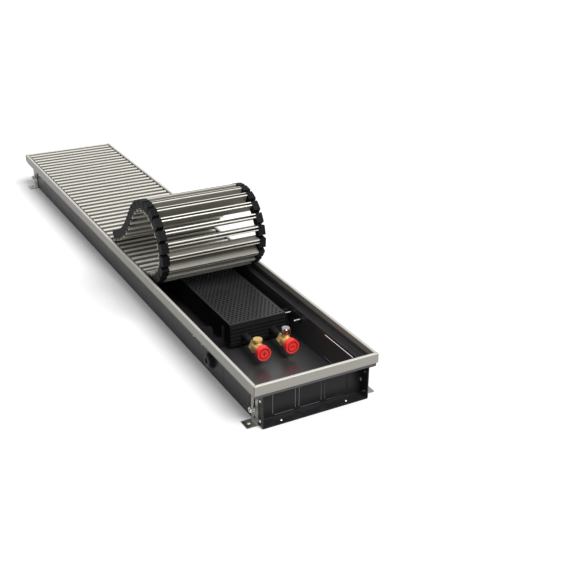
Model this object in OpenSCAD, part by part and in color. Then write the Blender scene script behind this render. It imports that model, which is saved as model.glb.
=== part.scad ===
// Trench convector heater with its roll-up grille partly rolled back.
// X runs across the unit, Y along it with the pipe end at -Y, Z up from the floor.

/* [Unit] */
// Overall length of the frame
unit_l = 1500; // [1300:10:2000]
// Overall width of the frame
unit_w = 260; // [245:1:320]
// Height from the floor to the top of the frame
unit_h = 95; // [90:1:130]

/* [Frame] */
// Height of the outer skirt of the frame profile
skirt_h = 20; // [15:0.5:26]
// Width of the top lip of the frame profile
lip_w = 6.5; // [5.5:0.1:8]
// Depth of the inner leg of the frame profile
inner_leg_h = 13; // [8:0.5:20]
// Wall of the frame profile
frame_t = 1.5; // [1:0.1:1.8]
// Open slit at each mitred corner
mitre_gap = 1.4; // [0.2:0.1:2]

/* [Trough] */
// Sheet thickness of the trough, end plates and brackets
sheet_t = 1.2; // [0.8:0.1:1.6]
// Distance from the outside of the frame to the outside of the trough walls
wall_inset = 18; // [16:0.5:22]
// Distance from the outside of the frame to the upright rim of the trough
rim_inset = 2.8; // [2.4:0.1:3.2]
// Distance from the rim back to the end plate
end_setback = 24; // [18:1:40]
// Inner radius of the sheet bends
bend_r = 1; // [0.5:0.1:2]

/* [Knock-outs] */
// Number of pipe knock-outs in each end plate
knock_n = 3; // [2:1:4]
// Width of an end knock-out
knock_w = 47; // [35:1:50]
// Height of the bottom of the end knock-outs
knock_low = 6.5; // [5:0.1:12]
// Distance from the top of the end knock-outs to the ledge above
knock_top = 13.3; // [8:0.1:20]
// Gap between end knock-outs
knock_gap = 8; // [6:0.5:10]
// Length of the side knock-out at the pipe end
side_knock_l = 112; // [60:1:116]
// Height of the bottom of the side knock-outs
side_knock_low = 10.8; // [6:0.1:16]
// Distance from the top of the side knock-outs to the ledge above
side_knock_top = 6; // [4:0.5:12]
// Distance from the rim to the near edge of the side knock-out
side_knock_from = 52; // [45:1:56]
// Width of the slits round each end knock-out and above each side one
slit_w = 2.4; // [0.8:0.1:3]
// Width of the other slits of the side knock-outs
side_slit_w = 1.2; // [0.8:0.1:2]
// Length of the tabs that hold a knock-out
tab_l = 3; // [2:0.5:8]

/* [Grille slats] */
// Width of a slat
slat_w = 10.5; // [8:0.25:11.5]
// Height of a slat
slat_h = 25; // [21:0.5:27]
// Wall of the slat channel
slat_wall = 1.3; // [1:0.1:1.8]
// Width of the inward lips at the bottom of a slat
slat_lip = 3; // [2.5:0.1:3.4]
// Drop of the slats below the top of the frame
top_drop = 1.7; // [1:0.1:3]
// Side gap between a slat's end and the frame
slat_side_gap = 3; // [1:0.5:5]

/* [Grille links] */
// Free gap between two slats, filled by the rubber links at their ends
spacer_l = 13.75; // [11:0.25:16]
// Width of a link along the slat
spacer_w = 16; // [10:0.5:20]
// Height of the cord above the bottom of the slats
cord_z = 16; // [14:0.5:17]
// Height of a link above the cord
spacer_top = 3; // [2:0.5:4]
// Diameter of the cord that strings slats and links together
cord_d = 2; // [1.5:0.1:3]
// Diameter of the cord's holes
cord_hole_d = 2.6; // [2.2:0.1:3.6]

/* [Heat exchanger] */
// Width of the air channel to the left of the fin pack
left_air = 71.8; // [64:0.2:80]
// Width of the air channel to the right of the fin pack
right_air = 21.8; // [18:0.2:30]
// Height of the bottom of the fin pack
pack_low = 10.5; // [8:0.5:14]
// Gap between the perforated cover and the slats above it
pack_gap = 7.8; // [5:0.1:12]
// Distance between two fins
fin_pitch = 6; // [4:0.5:10]
// Thickness of a fin
fin_t = 0.5; // [0.3:0.1:0.8]
// Distance from the pipe end of the frame to the fin pack
pack_from = 288; // [285:1:320]
// Distance from the far end of the frame to the fin pack
pack_end = 100; // [90:1:300]
// Height of the pipe axes above the floor
pipe_z = 30.5; // [28:0.5:38]
// Distance between the two pipes
pipe_gap = 64; // [50:1:66]
// Outer diameter of the pipes
pipe_d = 15; // [12:0.5:16]
// Wall of the pipes
pipe_t = 1; // [0.7:0.1:1.5]
// Diameter of the holes in the perforated cover
perf_d = 5; // [3:0.5:6]
// Distance between the holes in the perforated cover
perf_pitch = 9.4; // [8:0.2:14]
// Thickness of the perforated cover
cover_t = 1; // [0.8:0.1:1.5]
// Number of lengths that make up the perforated cover
cover_n = 4; // [3:1:6]

/* [Pipe fittings] */
// Distance from the pipe end of the frame to the faces of the caps
cap_from = 197; // [180:1:205]
// Outer diameter of the plastic caps
cap_d = 30; // [26:0.5:34]
// Length of the plastic caps
cap_l = 12; // [8:0.5:14]
// Outer diameter of the threaded end under a cap
thread_d = 26.4; // [20:0.2:26.8]
// Travel that takes a cap clear of its thread
cap_travel = 25; // [15:1:60]
// Diameter of the upright boss on each fitting
boss_d = 16; // [10:0.5:18]
// Height of the boss top above the pipe axis
boss_h = 17; // [14:0.5:18]
// Diameter of the chromed vent knob
knob_d = 19; // [12:0.5:20]
// Height of the chromed vent knob
knob_h = 13; // [8:0.5:14]

/* [Feet] */
// Thickness of the foot brackets
foot_t = 2; // [1.5:0.1:2.5]
// Width of a foot bracket along the unit
foot_w = 26; // [20:1:30]
// Reach of a foot beyond the outside of the frame
foot_out = 6; // [4:0.5:20]
// Distance from the end of the frame to the middle of a foot
foot_from = 30; // [28:1:45]
// Gap between the top of a foot and the ledge above it
foot_gap = 1.8; // [1:0.1:10]
// Diameter of the anchor hole in the foot flange
anchor_d = 7; // [5:0.5:9]
// Distance from the outside edge of the foot flange to its hole
anchor_edge = 10.3; // [8:0.1:13]
// Downward travel of a foot on its bolt
foot_travel = 20; // [5:1:22]
// Height of the foot bolt above the floor
bolt_z = 30; // [28:0.5:36]
// Diameter of the foot bolt
bolt_d = 6; // [5:0.5:8]

/* [Hidden] */
$fn = 48;
over = 1;                 // overrun of every cut
seat_gap = 0.3;           // between slats and what they lie on
run_gap = 0.3;            // between pieces that move past each other
fit_gap = 0.05;           // between a pipe and the fins round it

// Turn of each rolled slat against the one before it, from the fold to the free end:
// a slow rise, the front of the roll, its crown, its back and the tail
turns = concat([4, 6, 8, 10, 14, 14], [30, 19, 15, 17], [16, 18, 15, 17, 13, 10, 6],
               [-2, -6, -8], [-7, -5, -4]);
full_turn = 32;           // largest turn, which the link's upper bevel clears
back_turn = 10;           // largest turn the other way, which its lower bevel clears
rolled_n = len(turns);
lean_from = 6;            // first and last turns of the front and of the back of the roll,
lean_to = 9;              // between which the lean is shared out
lean_back_from = 12;
lean_back_to = 15;

half_w = unit_w / 2;
half_l = unit_l / 2;
wall_x = half_w - wall_inset;         // outside of the trough walls
wall_in = wall_x - sheet_t;           // inside of the trough walls
rim_x = half_w - rim_inset;           // outside of the upright rim
rim_y = half_l - rim_inset;
seat_z = unit_h - top_drop - slat_h - seat_gap;
ledge_z = seat_z - sheet_t;
rim_top = unit_h - frame_t;
knock_h = ledge_z - knock_top - knock_low;
knock_z = knock_low + knock_h / 2;
side_knock_h = ledge_z - side_knock_top - side_knock_low;
side_knock_z = side_knock_low + side_knock_h / 2;

pitch = slat_w + spacer_l;
slat_l = unit_w - 2 * (lip_w + slat_side_gap);
slat_n = floor((unit_l - 2 * lip_w - slat_w) / pitch) + 1;
slat_first = (slat_n - 1) * pitch / 2;      // the row of slats is centred on the unit
slat_bottom = unit_h - top_drop - slat_h;
cord_level = slat_bottom + cord_z;
cord_x = slat_l / 2 - spacer_w / 2;
flat_y = pitch * rolled_n - slat_first;     // middle of the first flat slat
link_reach = spacer_l + slat_w / 2;         // from a hinge line to the middle of its slat
fold = [flat_y - slat_w / 2, cord_level];   // hinge line of the first rolled slat

pack_x = (left_air - right_air) / 2;
pack_y0 = pack_from - half_l;
pack_l = unit_l - pack_from - pack_end;
pack_y1 = pack_y0 + pack_l;
fin_w = 2 * wall_in - left_air - right_air;
fin_h = slat_bottom - pack_gap - cover_t - pack_low;
pack_z = pack_low + fin_h / 2;
pack_z1 = pack_low + fin_h;
pipe_x = [pack_x - pipe_gap / 2, pack_x + pipe_gap / 2];
cap_y = cap_from - half_l;

plate_y = rim_y - end_setback;              // outside of the end plates
rivet_in = 10;                              // from the rim to the rivets
rivet_low = 12;                             // heights of the side rivets
rivet_top = 12.8;                           // from the upper ones to the ledge
rivet_high = ledge_z - rivet_top;
rivet_head_d = 6;
rivet_head_h = 1.4;
rivet_d = 3.2;
rivet_tail_d = 5;
rivet_tail_h = 1.6;

foot_x = wall_x + run_gap + foot_t;         // outside of a foot's upright
anchor_x = half_w + foot_out - anchor_edge;
foot_y = half_l - foot_from;
foot_h = ledge_z - foot_gap;
nut_af = 10;                                // hexagon across flats on the foot bolt
nut_h = 4;
bolt_out = 8;                               // from the foot's upright to the bolt head

fitting_l = 40;                             // brass fitting from its threaded end to its ring
ring_l = 8;
ring_af = 26;
body_d = 24;
thread_l = 9;
boss_from = 19;                             // from the threaded end to the boss
cap_wall = 2.4;
thread_y = cap_y + cap_wall + run_gap;      // end of the thread inside a cap

// Bent sheet: the outline of a strip that follows a path with right-angled bends.
// The strip lies to the left of the path.
bend_steps = 4;
function unit_vec(a, b) = (b - a) / norm(b - a);
function left_of(u) = [-u.y, u.x];
function corner_arc(c, u, v, r) = r <= 0 ? [c] :
    [for (i = [0 : bend_steps]) let (a = 90 * i / bend_steps)
        c - u * r + v * r - v * r * cos(a) + u * r * sin(a)];
function sheet_side(path, t, r, side) =
    let (last = len(path) - 1, shift = t * side)
    concat(
        [path[0] + shift * left_of(unit_vec(path[0], path[1]))],
        [for (i = [1 : last - 1])
            let (u = unit_vec(path[i - 1], path[i]), v = unit_vec(path[i], path[i + 1]),
                 turns_left = u.x * v.y - u.y * v.x > 0,
                 inner = turns_left == (side == 1))
            for (p = corner_arc(path[i] + shift * (left_of(u) + left_of(v)), u, v,
                                inner ? r : r + t)) p],
        [path[last] + shift * left_of(unit_vec(path[last - 1], path[last]))]);
function reversed(list) = [for (i = [len(list) - 1 : -1 : 0]) list[i]];
module sheet(path, t, r) {
    polygon(concat(sheet_side(path, t, r, 0), reversed(sheet_side(path, t, r, 1))));
}

// Extrusions of a profile: its X and Y become the two named axes
module along_y(length) {
    translate([0, length / 2, 0]) rotate([90, 0, 0]) linear_extrude(length) children();
}
module along_x(length) {
    translate([-length / 2, 0, 0]) rotate([90, 0, 90]) linear_extrude(length) children();
}

// Four slits with tabs between them round a panel of w by h, cut through a sheet in the XY plane
module knock_slits(w, h, slit, depth) {
    translate([0, h / 2, 0]) cube([w - 2 * tab_l, slit_w, depth], center = true);
    translate([0, -h / 2, 0]) cube([w - 2 * tab_l, slit, depth], center = true);
    for (s = [-1, 1])
        translate([s * w / 2, 0, 0]) cube([slit, h - 2 * tab_l, depth], center = true);
}

// Trough
module trough() {
    color("#202022")
    difference() {
        along_y(2 * rim_y)
            sheet([[-wall_x, ledge_z], [-wall_x, 0], [wall_x, 0], [wall_x, ledge_z]],
                  sheet_t, bend_r);
        side_knock_cuts();
        gland_cut();
        at_screws() fastener_hole(screw_d);
        at_side_rivets() fastener_hole(rivet_d);
        at_bottom_rivets() fastener_hole(rivet_d);
        at_foot_bolts() fastener_hole(bolt_d);
    }
}
module fastener_hole(d) {
    cylinder(d = d + 2 * fit_gap, h = 6 * sheet_t, center = true);
}
side_knock_y = side_knock_from + side_knock_l / 2 - rim_y;
module side_knock_cuts() {
    for (s = [-1, 1])
        translate([s * (wall_x - sheet_t / 2), side_knock_y, side_knock_z]) rotate([90, 0, 90])
            knock_slits(side_knock_l, side_knock_h, side_slit_w, sheet_t + 2 * over);
}

// Seat angles: the ledge that the grille lies on and the rim that carries the frame,
// welded on the top edges of the trough and of the end plates
module side_seat() {
    along_y(2 * rim_y)
        sheet([[-rim_x, rim_top], [-rim_x, ledge_z], [-wall_in, ledge_z]], sheet_t, bend_r);
}
module seat_angle_left() { color("#202022") side_seat(); }
module seat_angle_right() { color("#202022") mirror([1, 0, 0]) side_seat(); }
module end_seat() {
    difference() {
        along_x(2 * (rim_x - sheet_t))
            sheet([[-rim_y, rim_top], [-rim_y, ledge_z], [sheet_t - plate_y, ledge_z]],
                  sheet_t, bend_r);
        outside_walls();
    }
}
module seat_angle_front() { color("#202022") end_seat(); }
module seat_angle_rear() { color("#202022") rotate([0, 0, 180]) end_seat(); }

// All that lies outside the trough walls and below the grille, at the front end
module outside_walls() {
    for (s = [-1, 1])
        translate([s * (wall_in + half_w), -half_l, seat_z / 2 - over])
            cube([2 * half_w, 4 * end_setback, seat_z + 2 * over], center = true);
}

// End plates: one bent sheet with its bottom and side flanges and knock-outs
flange_low = 5;
module end_plate() {
    difference() {
        union() {
            along_x(2 * wall_in)
                sheet([[-plate_y, ledge_z], [-plate_y, 2 * sheet_t], [-rim_y, 2 * sheet_t]],
                      sheet_t, bend_r);
            for (s = [-1, 1])
                translate([s * (wall_in - sheet_t / 2), -plate_y - end_setback / 2,
                           (ledge_z + flange_low) / 2])
                    cube([sheet_t, end_setback, ledge_z - 3 * flange_low], center = true);
        }
        for (i = [0 : knock_n - 1])
            translate([(i - (knock_n - 1) / 2) * (knock_w + knock_gap), -plate_y + sheet_t / 2,
                       knock_z])
                rotate([90, 0, 0]) knock_slits(knock_w, knock_h, slit_w, sheet_t + 2 * over);
        at_side_rivets() fastener_hole(rivet_d);
        at_bottom_rivets() fastener_hole(rivet_d);
        at_foot_bolts() fastener_hole(collar_d);
        corner_relief();
    }
}
// Clears the inner bends of the trough
module corner_relief() {
    for (s = [-1, 1])
        translate([s * wall_in, -half_l, sheet_t])
            cube([2 * bend_r, 4 * end_setback, 2 * bend_r], center = true);
}
module front_end_plate() { color("#2a2a2c") end_plate(); }
module rear_end_plate() { color("#2a2a2c") rotate([0, 0, 180]) end_plate(); }

// Frame: four mitred lengths of one profile
module rail(length) {
    end = length / 2 - mitre_gap / 2;
    intersection() {
        along_x(length)
            sheet([[lip_w, -inner_leg_h], [lip_w, 0], [0, 0], [0, -skirt_h]],
                  frame_t, frame_t / 3);
        translate([0, 0, -skirt_h - over])
            linear_extrude(skirt_h + 2 * over)
                polygon([[-end - over, -over], [end + over, -over],
                         [end - 2 * lip_w, 2 * lip_w], [-end + 2 * lip_w, 2 * lip_w]]);
    }
}
module frame_rail_front() { color("#c8c4ba") translate([0, -half_l, unit_h]) rail(unit_w); }
module frame_rail_rear() {
    color("#c8c4ba") rotate([0, 0, 180]) translate([0, -half_l, unit_h]) rail(unit_w);
}
module frame_rail_left() {
    color("#c8c4ba") translate([-half_w, 0, unit_h]) rotate([0, 0, -90]) rail(unit_l);
}
module frame_rail_right() {
    color("#c8c4ba") translate([half_w, 0, unit_h]) rotate([0, 0, 90]) rail(unit_l);
}

// One slat: a channel, open below, with its cord line at the origin.
// Its lower half is cut away at both ends, where the rubber links take its place.
module slat() {
    low = -cord_z;
    high = slat_h - cord_z;
    difference() {
        along_x(slat_l)
            sheet([[slat_w / 2 - slat_lip, low], [slat_w / 2, low], [slat_w / 2, high],
                   [-slat_w / 2, high], [-slat_w / 2, low], [slat_lip - slat_w / 2, low]],
                  slat_wall, slat_wall / 3);
        for (s = [-1, 1])
            translate([s * (slat_l - spacer_w + over) / 2, 0, (spacer_top + low - over) / 2])
                cube([spacer_w + over, slat_w + 2 * over, spacer_top - low + over], center = true);
    }
}
// The two links under a slat, which fill the gap on its side towards +Y and are bevelled there
// to let the grille roll
module spacers(reach) {
    low = -cord_z;
    high = spacer_top - fit_gap;
    for (s = [-1, 1])
        translate([s * cord_x, 0, 0]) difference() {
            along_x(spacer_w - 2 * fit_gap)
                polygon([[-slat_w / 2, low], [reach - cord_z * tan(back_turn), low], [reach, 0],
                         [reach - high * tan(full_turn), high], [-slat_w / 2, high]]);
            rotate([90, 0, 0])
                cylinder(d = cord_hole_d, h = 2 * (reach + over), center = true);
        }
}
module cords(from, to) {
    for (s = [-1, 1])
        translate([s * cord_x, to, 0]) rotate([90, 0, 0]) cylinder(d = cord_d, h = to - from);
}
flat_n = slat_n - rolled_n;
module flat_slats() {
    color("#d0cdc4")
    for (i = [0 : flat_n - 1]) translate([0, flat_y + i * pitch, cord_level]) slat();
}
module flat_spacers() {
    color("#1c1c1e")
    for (i = [0 : flat_n - 1])
        translate([0, flat_y + i * pitch, cord_level])
            spacers(i < flat_n - 1 ? link_reach : slat_w / 2);
}
module grille_cords() {
    color("#9a9a98")
    translate([0, flat_y, cord_level])
        cords(-slat_w / 2, (flat_n - 1) * pitch + slat_w / 2);
}

// Roll: each slat turns about the hinge line in the face of the slat before it.
// The lean moves a little of the turn from the front of the roll to its back,
// so that the corner of the last slat comes down on the flat slats.
function turn(i, lean) = turns[i]
    + (i >= lean_from && i <= lean_to ? lean : 0)
    - (i >= lean_back_from && i <= lean_back_to ? lean : 0);
function turned(i, lean) = i < 0 ? 0 : turned(i - 1, lean) + turn(i, lean);
function hinge(i, lean) = i == 0 ? fold :
    let (a = turned(i - 1, lean)) hinge(i - 1, lean) + pitch * [-cos(a), sin(a)];
function last_corner(lean) =
    hinge(rolled_n, lean).y + (slat_h - cord_z) * cos(turned(rolled_n - 1, lean));
function settle(low, high, steps) = let (mid = (low + high) / 2)
    steps == 0 ? mid
    : last_corner(mid) > slat_bottom + slat_h + seat_gap ? settle(mid, high, steps - 1)
    : settle(low, mid, steps - 1);
lean_max = 10;
lean = settle(-lean_max, lean_max, 30);

module rolled_slat(i) {
    h = hinge(i, lean);
    translate([0, h.x, h.y]) rotate([-turned(i, lean), 0, 0]) translate([0, -link_reach, 0]) {
        color("#d0cdc4") slat();
        color("#1c1c1e") spacers(link_reach - run_gap);
        color("#9a9a98") cords(-slat_w / 2 + run_gap, link_reach - run_gap);
    }
}

// Heat exchanger
module exchanger_fins() {
    n = floor((pack_l - fin_t) / fin_pitch);
    first = (pack_l - n * fin_pitch - fin_t) / 2;
    color("#1a1a1c")
    for (i = [0 : n])
        translate([pack_x, pack_y0 + first + i * fin_pitch + fin_t, pack_z]) rotate([90, 0, 0])
            linear_extrude(fin_t) difference() {
                square([fin_w, fin_h], center = true);
                for (s = [-1, 1])
                    translate([s * pipe_gap / 2, pipe_z - pack_z])
                        circle(d = pipe_d + 2 * fit_gap);
            }
}
pipe_end = thread_y + fitting_l - ring_l;
bend_out = 12;                               // straight run behind the fins before the bend
module exchanger_pipes() {
    straight = pack_y1 + bend_out - pipe_end;
    color("#202022")
    translate([0, 0, pipe_z]) difference() {
        union() {
            for (x = pipe_x) translate([x, pipe_end + straight, 0]) rotate([90, 0, 0])
                cylinder(d = pipe_d, h = straight);
            translate([pack_x, pipe_end + straight, 0])
                rotate_extrude(angle = 180) translate([pipe_gap / 2, 0]) circle(d = pipe_d);
        }
        for (x = pipe_x) translate([x, pipe_end + straight, 0]) rotate([90, 0, 0])
            cylinder(d = pipe_d - 2 * pipe_t, h = straight + over);
        translate([pack_x, pipe_end + straight, 0])
            rotate_extrude(angle = 180)
                translate([pipe_gap / 2, 0]) circle(d = pipe_d - 2 * pipe_t);
    }
}
// The cover comes in equal lengths, each with its own field of staggered holes
cover_l = (pack_l - (cover_n - 1) * run_gap) / cover_n;
module cover_length() {
    cols = floor((fin_w - 2 * perf_d) / perf_pitch);
    row_step = perf_pitch * sin(60);
    rows = floor((cover_l - 2 * perf_d) / row_step);
    linear_extrude(cover_t) difference() {
        square([fin_w, cover_l], center = true);
        for (j = [0 : rows], i = [0 : cols - j % 2])
            translate([(i - (cols - j % 2) / 2) * perf_pitch, (j - rows / 2) * row_step])
                circle(d = perf_d);
    }
}
module exchanger_cover() {
    color("#2b2b2d")
    for (k = [0 : cover_n - 1])
        translate([pack_x, pack_y0 + cover_l / 2 + k * (cover_l + run_gap), pack_z1])
            cover_length();
}
end_rib_n = 5;
end_rib_h = 3;
end_rib_out = 2.5;
module exchanger_end_plate() {
    rib_step = fin_h / (end_rib_n + 1);
    difference() {
        union() {
            translate([-fin_w / 2, -sheet_t, -fin_h / 2]) cube([fin_w, sheet_t, fin_h]);
            for (i = [1 : end_rib_n])
                translate([-fin_w / 2, -sheet_t - end_rib_out, i * rib_step - (fin_h + end_rib_h) / 2])
                    cube([fin_w, end_rib_out + sheet_t, end_rib_h]);
        }
        for (s = [-1, 1]) translate([s * pipe_gap / 2, 0, pipe_z - pack_z]) rotate([90, 0, 0])
            cylinder(d = pipe_d + 2 * fit_gap, h = 4 * (end_rib_out + sheet_t), center = true);
    }
}
module exchanger_end_plates() {
    color("#1f1f21") {
        translate([pack_x, pack_y0, pack_z]) exchanger_end_plate();
        translate([pack_x, pack_y1, pack_z]) rotate([0, 0, 180]) exchanger_end_plate();
    }
}
// Saddle brackets: each carries the pack and stands between the trough walls
bracket_in = 22;                             // from the end of the pack to a bracket
ear_drop = 2.5;                              // from the top of the pack to that of an ear
ear_h = pack_z1 - ear_drop;
ear_r = 8;
ear_share = 0.62;                            // of the wide gap that its ear fills
web_h = 24;                                  // of the rest of that bracket
cheek_w = 6;                                 // of the strip that rises beside the pack
wall_flange_l = 55;
flange_h = 14;
screw_z = ear_h - flange_h / 2;
screw_end = 7.5;                             // from the ends of a wall flange to its screws
// One ear, from a trough wall at the origin to w, with its free top corner rounded
module ear(w) {
    polygon([[0, sheet_t], [w, sheet_t], [w, ear_h - ear_r], [w - ear_r, ear_h - ear_r],
             [w - ear_r, ear_h], [0, ear_h]]);
    translate([w - ear_r, ear_h - ear_r]) circle(r = ear_r);
}
module bracket() {
    left_w = left_air - 2 * sheet_t;
    right_w = right_air - 2 * sheet_t;
    rotate([90, 0, 0]) linear_extrude(sheet_t, center = true) {
        translate([-wall_in, 0]) ear(ear_share * left_w);
        translate([-wall_in, sheet_t]) square([left_w, web_h]);
        translate([left_w - wall_in - cheek_w, sheet_t]) square([cheek_w, ear_h - ear_r]);
        translate([wall_in, 0]) mirror([1, 0]) ear(right_w);
        translate([-wall_in, sheet_t]) square([2 * wall_in, pack_low - sheet_t]);
    }
    for (s = [-1, 1])
        translate([s * (wall_in - sheet_t / 2), -wall_flange_l / 2, screw_z])
            cube([sheet_t, wall_flange_l, flange_h], center = true);
}
// Both ends of the pack: the bracket's place, turned for the far end
module at_brackets() {
    translate([0, pack_y0 + bracket_in, 0]) children();
    translate([0, pack_y1 - bracket_in, 0]) mirror([0, 1, 0]) children();
}
module at_screws() {
    at_brackets()
        for (s = [-1, 1], y = [screw_end, wall_flange_l - screw_end])
            translate([s * wall_x, -y, screw_z]) rotate([0, s * 90, 0]) children();
}
module exchanger_brackets() {
    color("#232325") difference() {
        at_brackets() bracket();
        at_screws() fastener_hole(screw_d);
    }
}
screw_d = 4;
screw_head_d = 7;
screw_head_h = 2;
screw_in = 16;
module bracket_screws() {
    color("#d8d8d4") at_screws() {
        cylinder(d1 = screw_head_d, d2 = screw_head_d - screw_head_h, h = screw_head_h);
        translate([0, 0, -screw_in]) cylinder(d = screw_d, h = screw_in);
    }
}

// Brass fittings: a ring on the pipe, a body with an upright boss, and a threaded end
module fitting() {
    rotate([90, 0, 0]) difference() {
        union() {
            translate([0, 0, -fitting_l]) cylinder(d = ring_af / cos(30), h = ring_l, $fn = 6);
            translate([0, 0, -fitting_l]) cylinder(d = body_d, h = fitting_l);
            translate([0, 0, -thread_l]) cylinder(d = thread_d, h = thread_l);
            translate([0, 0, -boss_from - boss_d / 2]) rotate([-90, 0, 0])
                cylinder(d = boss_d, h = boss_h);
        }
        translate([0, 0, -fitting_l - over])
            cylinder(d = pipe_d - 2 * pipe_t, h = fitting_l + 2 * over);
        translate([0, 0, -fitting_l - over]) cylinder(d = pipe_d + 2 * fit_gap, h = ring_l + over);
        translate([0, 0, -boss_from - boss_d / 2]) rotate([-90, 0, 0])
            translate([0, 0, boss_h - stem_l]) cylinder(d = stem_d + 2 * fit_gap, h = stem_l + over);
    }
}
stem_d = 5;                                 // of the vent knob, in the fitting's boss
stem_l = 6;
module return_fitting() {
    color("#c9a55c") translate([pipe_x[0], thread_y, pipe_z]) fitting();
}
module flow_fitting() {
    color("#c9a55c") translate([pipe_x[1], thread_y, pipe_z]) fitting();
}
boss_y = thread_y + boss_from + boss_d / 2;
plug_h = 3.5;
plug_rim = 1.5;
plug_out = 2;                               // overhang of the plug round its boss
module vent_plug() {
    color("#d8b878") translate([pipe_x[0], boss_y, pipe_z + boss_h])
        cylinder(d1 = boss_d + 2 * plug_out, d2 = boss_d + 2 * plug_out - plug_rim, h = plug_h);
}
knob_flutes = 8;
knob_flute_d = 4;
module vent_knob() {
    color("#dcdcdc") translate([pipe_x[1], boss_y, pipe_z + boss_h + run_gap]) difference() {
        union() {
            translate([0, 0, -stem_l]) cylinder(d = stem_d, h = stem_l + over);
            cylinder(d = knob_d, h = knob_h - plug_rim);
            translate([0, 0, knob_h - plug_rim])
                cylinder(d1 = knob_d, d2 = knob_d - 2 * plug_rim, h = plug_rim);
        }
        for (i = [0 : knob_flutes - 1]) rotate([0, 0, i * 360 / knob_flutes])
            translate([knob_d / 2, 0, -over])
                cylinder(d = knob_flute_d, h = knob_h + 2 * over);
    }
}
// Plastic caps over the threaded ends, each with a sunk ring and a plain sign in it
cap_ring_d = 23;
cap_mark_h = 1.4;
sign_l = 10;
sign_w = 2.2;
module cap(plus) {
    rotate([90, 0, 0]) {
        difference() {
            translate([0, 0, -cap_l]) cylinder(d = cap_d, h = cap_l);
            translate([0, 0, -cap_l - over])
                cylinder(d = thread_d + 2 * run_gap, h = cap_l + over - cap_wall);
            translate([0, 0, -cap_mark_h]) linear_extrude(cap_mark_h + over) {
                difference() {
                    circle(d = cap_ring_d);
                    circle(d = cap_ring_d - 2 * sign_w);
                }
                square([sign_l, sign_w], center = true);
                if (plus) square([sign_w, sign_l], center = true);
            }
        }
    }
}
module return_cap() { color("#e8322c") translate([pipe_x[0], cap_y, pipe_z]) cap(true); }
module flow_cap() { color("#e8322c") translate([pipe_x[1], cap_y, pipe_z]) cap(false); }

// Rubber gland for the cable and bleed line in the left wall
gland_d = 36;
gland_neck_d = 26;
gland_bore_d = 12;
gland_out = 10;
gland_steps = 4;
gland_from = 222;
gland_z = 33;
module gland_cut() {
    translate([-wall_x, gland_from - half_l, gland_z]) rotate([0, 90, 0])
        cylinder(d = gland_neck_d + 2 * fit_gap, h = 4 * sheet_t, center = true);
}
module side_gland() {
    rib = gland_out / (2 * gland_steps);
    color("#0c0c0c")
    translate([-wall_x, gland_from - half_l, gland_z]) rotate([0, -90, 0]) difference() {
        union() {
            for (i = [0 : gland_steps - 1]) translate([0, 0, 2 * i * rib]) {
                cylinder(d = gland_d - 2 * i * rib, h = rib);
                cylinder(d = gland_neck_d - i * rib, h = 2 * rib);
            }
            translate([0, 0, -sheet_t - rib]) cylinder(d = gland_neck_d, h = sheet_t + 2 * rib);
            translate([0, 0, -sheet_t - 2 * rib]) cylinder(d = gland_d - 2 * rib, h = 2 * rib);
        }
        translate([0, 0, -sheet_t - 2 * rib - over])
            cylinder(d = gland_bore_d, h = gland_out + sheet_t + 2 * rib + 2 * over);
    }
}

// Rivets that join the end plates to the trough
module rivet() {
    cylinder(d1 = rivet_head_d, d2 = rivet_d, h = rivet_head_h);
    translate([0, 0, -2 * sheet_t]) cylinder(d = rivet_d, h = 2 * sheet_t);
}
module rivet_tail() {
    translate([0, 0, -2 * sheet_t - rivet_tail_h])
        cylinder(d1 = rivet_d, d2 = rivet_tail_d, h = rivet_tail_h);
}
rivet_x = 69;
module at_side_rivets() {
    for (e = [0, 180]) rotate([0, 0, e]) translate([0, -rim_y + rivet_in, 0])
        for (s = [-1, 1], z = [rivet_low, rivet_high])
            translate([s * wall_x, 0, z]) rotate([0, s * 90, 0]) children();
}
module at_bottom_rivets() {
    for (e = [0, 180]) rotate([0, 0, e]) translate([0, -rim_y + rivet_in, 0])
        for (s = [-1, 1]) translate([s * rivet_x, 0, 2 * sheet_t]) children();
}
module plate_rivets() {
    color("#c4c4c0") {
        at_side_rivets() rivet();
        at_side_rivets() rivet_tail();
        at_bottom_rivets() rivet();
    }
}

// Feet: angle brackets that slide down on a bolt in the trough wall
slot_w = bolt_d + 2 * run_gap;
spare_hole_z = 12;
spare_hole_d = 6;
module foot() {
    difference() {
        translate([0, foot_y, 0]) rotate([90, 0, 0])
            linear_extrude(foot_w, center = true)
                sheet([[-half_w - foot_out, 0], [-foot_x + foot_t, 0],
                       [-foot_x + foot_t, foot_h]], foot_t, bend_r);
        translate([-anchor_x, foot_y, -over])
            cylinder(d = anchor_d, h = foot_t + 2 * over);
        translate([-foot_x, foot_y, 0]) rotate([0, 90, 0]) {
            for (z = [bolt_z, bolt_z + foot_travel]) translate([-z, 0, 0])
                cylinder(d = slot_w, h = 4 * foot_t, center = true);
            translate([-bolt_z - foot_travel / 2, 0, 0])
                cube([foot_travel, slot_w, 4 * foot_t], center = true);
            translate([-spare_hole_z, 0, 0])
                cylinder(d = spare_hole_d, h = 4 * foot_t, center = true);
        }
    }
}
module foot_front_left() { color("#a8a8a4") mirror([0, 1, 0]) foot(); }
module foot_front_right() { color("#a8a8a4") mirror([0, 1, 0]) mirror([1, 0, 0]) foot(); }
module foot_rear_left() { color("#a8a8a4") foot(); }
module foot_rear_right() { color("#a8a8a4") mirror([1, 0, 0]) foot(); }

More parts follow.
